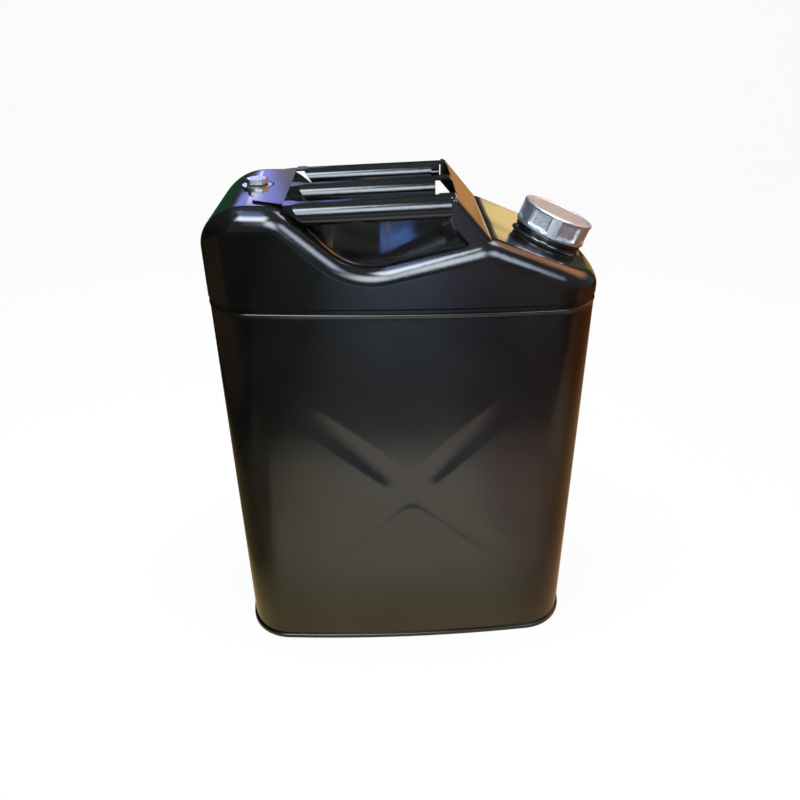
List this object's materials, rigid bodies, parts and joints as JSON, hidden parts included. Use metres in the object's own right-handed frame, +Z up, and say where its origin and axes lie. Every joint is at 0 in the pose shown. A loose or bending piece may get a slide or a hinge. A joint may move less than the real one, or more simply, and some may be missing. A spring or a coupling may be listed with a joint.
{
  "type": "metal fuel can",
  "caption": "Upright steel fuel can with rounded corners, carrying bars over a grip recess, and a tilted filler neck under a screw cap.",
  "frame": {"origin": "middle of the base's outline, on the ground", "axes": "+X towards the filler neck, -Y out of the wide face seen first, +Z up"},
  "size_m": [0.349, 0.1692, 0.4693],
  "materials": {
    "black_enamel": "glossy",
    "neck_enamel": "satin",
    "cast_aluminium": "satin",
    "plated_steel": "glossy",
    "black_rubber": "matte"
  },
  "bodies": {
    "can": {"body_wall": "black_enamel", "base_pan": "black_enamel", "top_shell": "black_enamel", "handle_plate": "black_enamel", "filler_neck": "neck_enamel", "vent_bush": "plated_steel"},
    "gasket": {"cap_gasket": "black_rubber"},
    "cap": {"screw_cap": "cast_aluminium"},
    "vent_rings": {"vent_washer": "plated_steel", "vent_seal": "black_rubber"},
    "vent_bolt": {"vent_screw": "plated_steel"}
  },
  "joints": [
    {"name": "cap_lift", "type": "slide", "parent": "can", "child": "gasket", "axis": [0.3665, 0, 0.9304], "range_m": [0, 0.0101]},
    {"name": "cap_turn", "type": "hinge", "parent": "gasket", "child": "cap", "pos_m": [0.13, 0, 0.41288], "axis": [0.3665, 0, 0.9304], "range_deg": [0, 900]},
    {"name": "vent_lift", "type": "slide", "parent": "can", "child": "vent_rings", "axis": [0, 0, 1], "range_m": [0, 0.0085]},
    {"name": "vent_turn", "type": "hinge", "parent": "vent_rings", "child": "vent_bolt", "pos_m": [-0.1243, 0, 0.4617], "axis": [0, 0, 1], "range_deg": [0, 1440]}
  ],
  "couplings": [
    {"joint": "cap_lift", "follows": "cap_turn", "m_per_rad": 0.00063662},
    {"joint": "vent_lift", "follows": "vent_turn", "m_per_rad": 0.00027852}
  ]
}
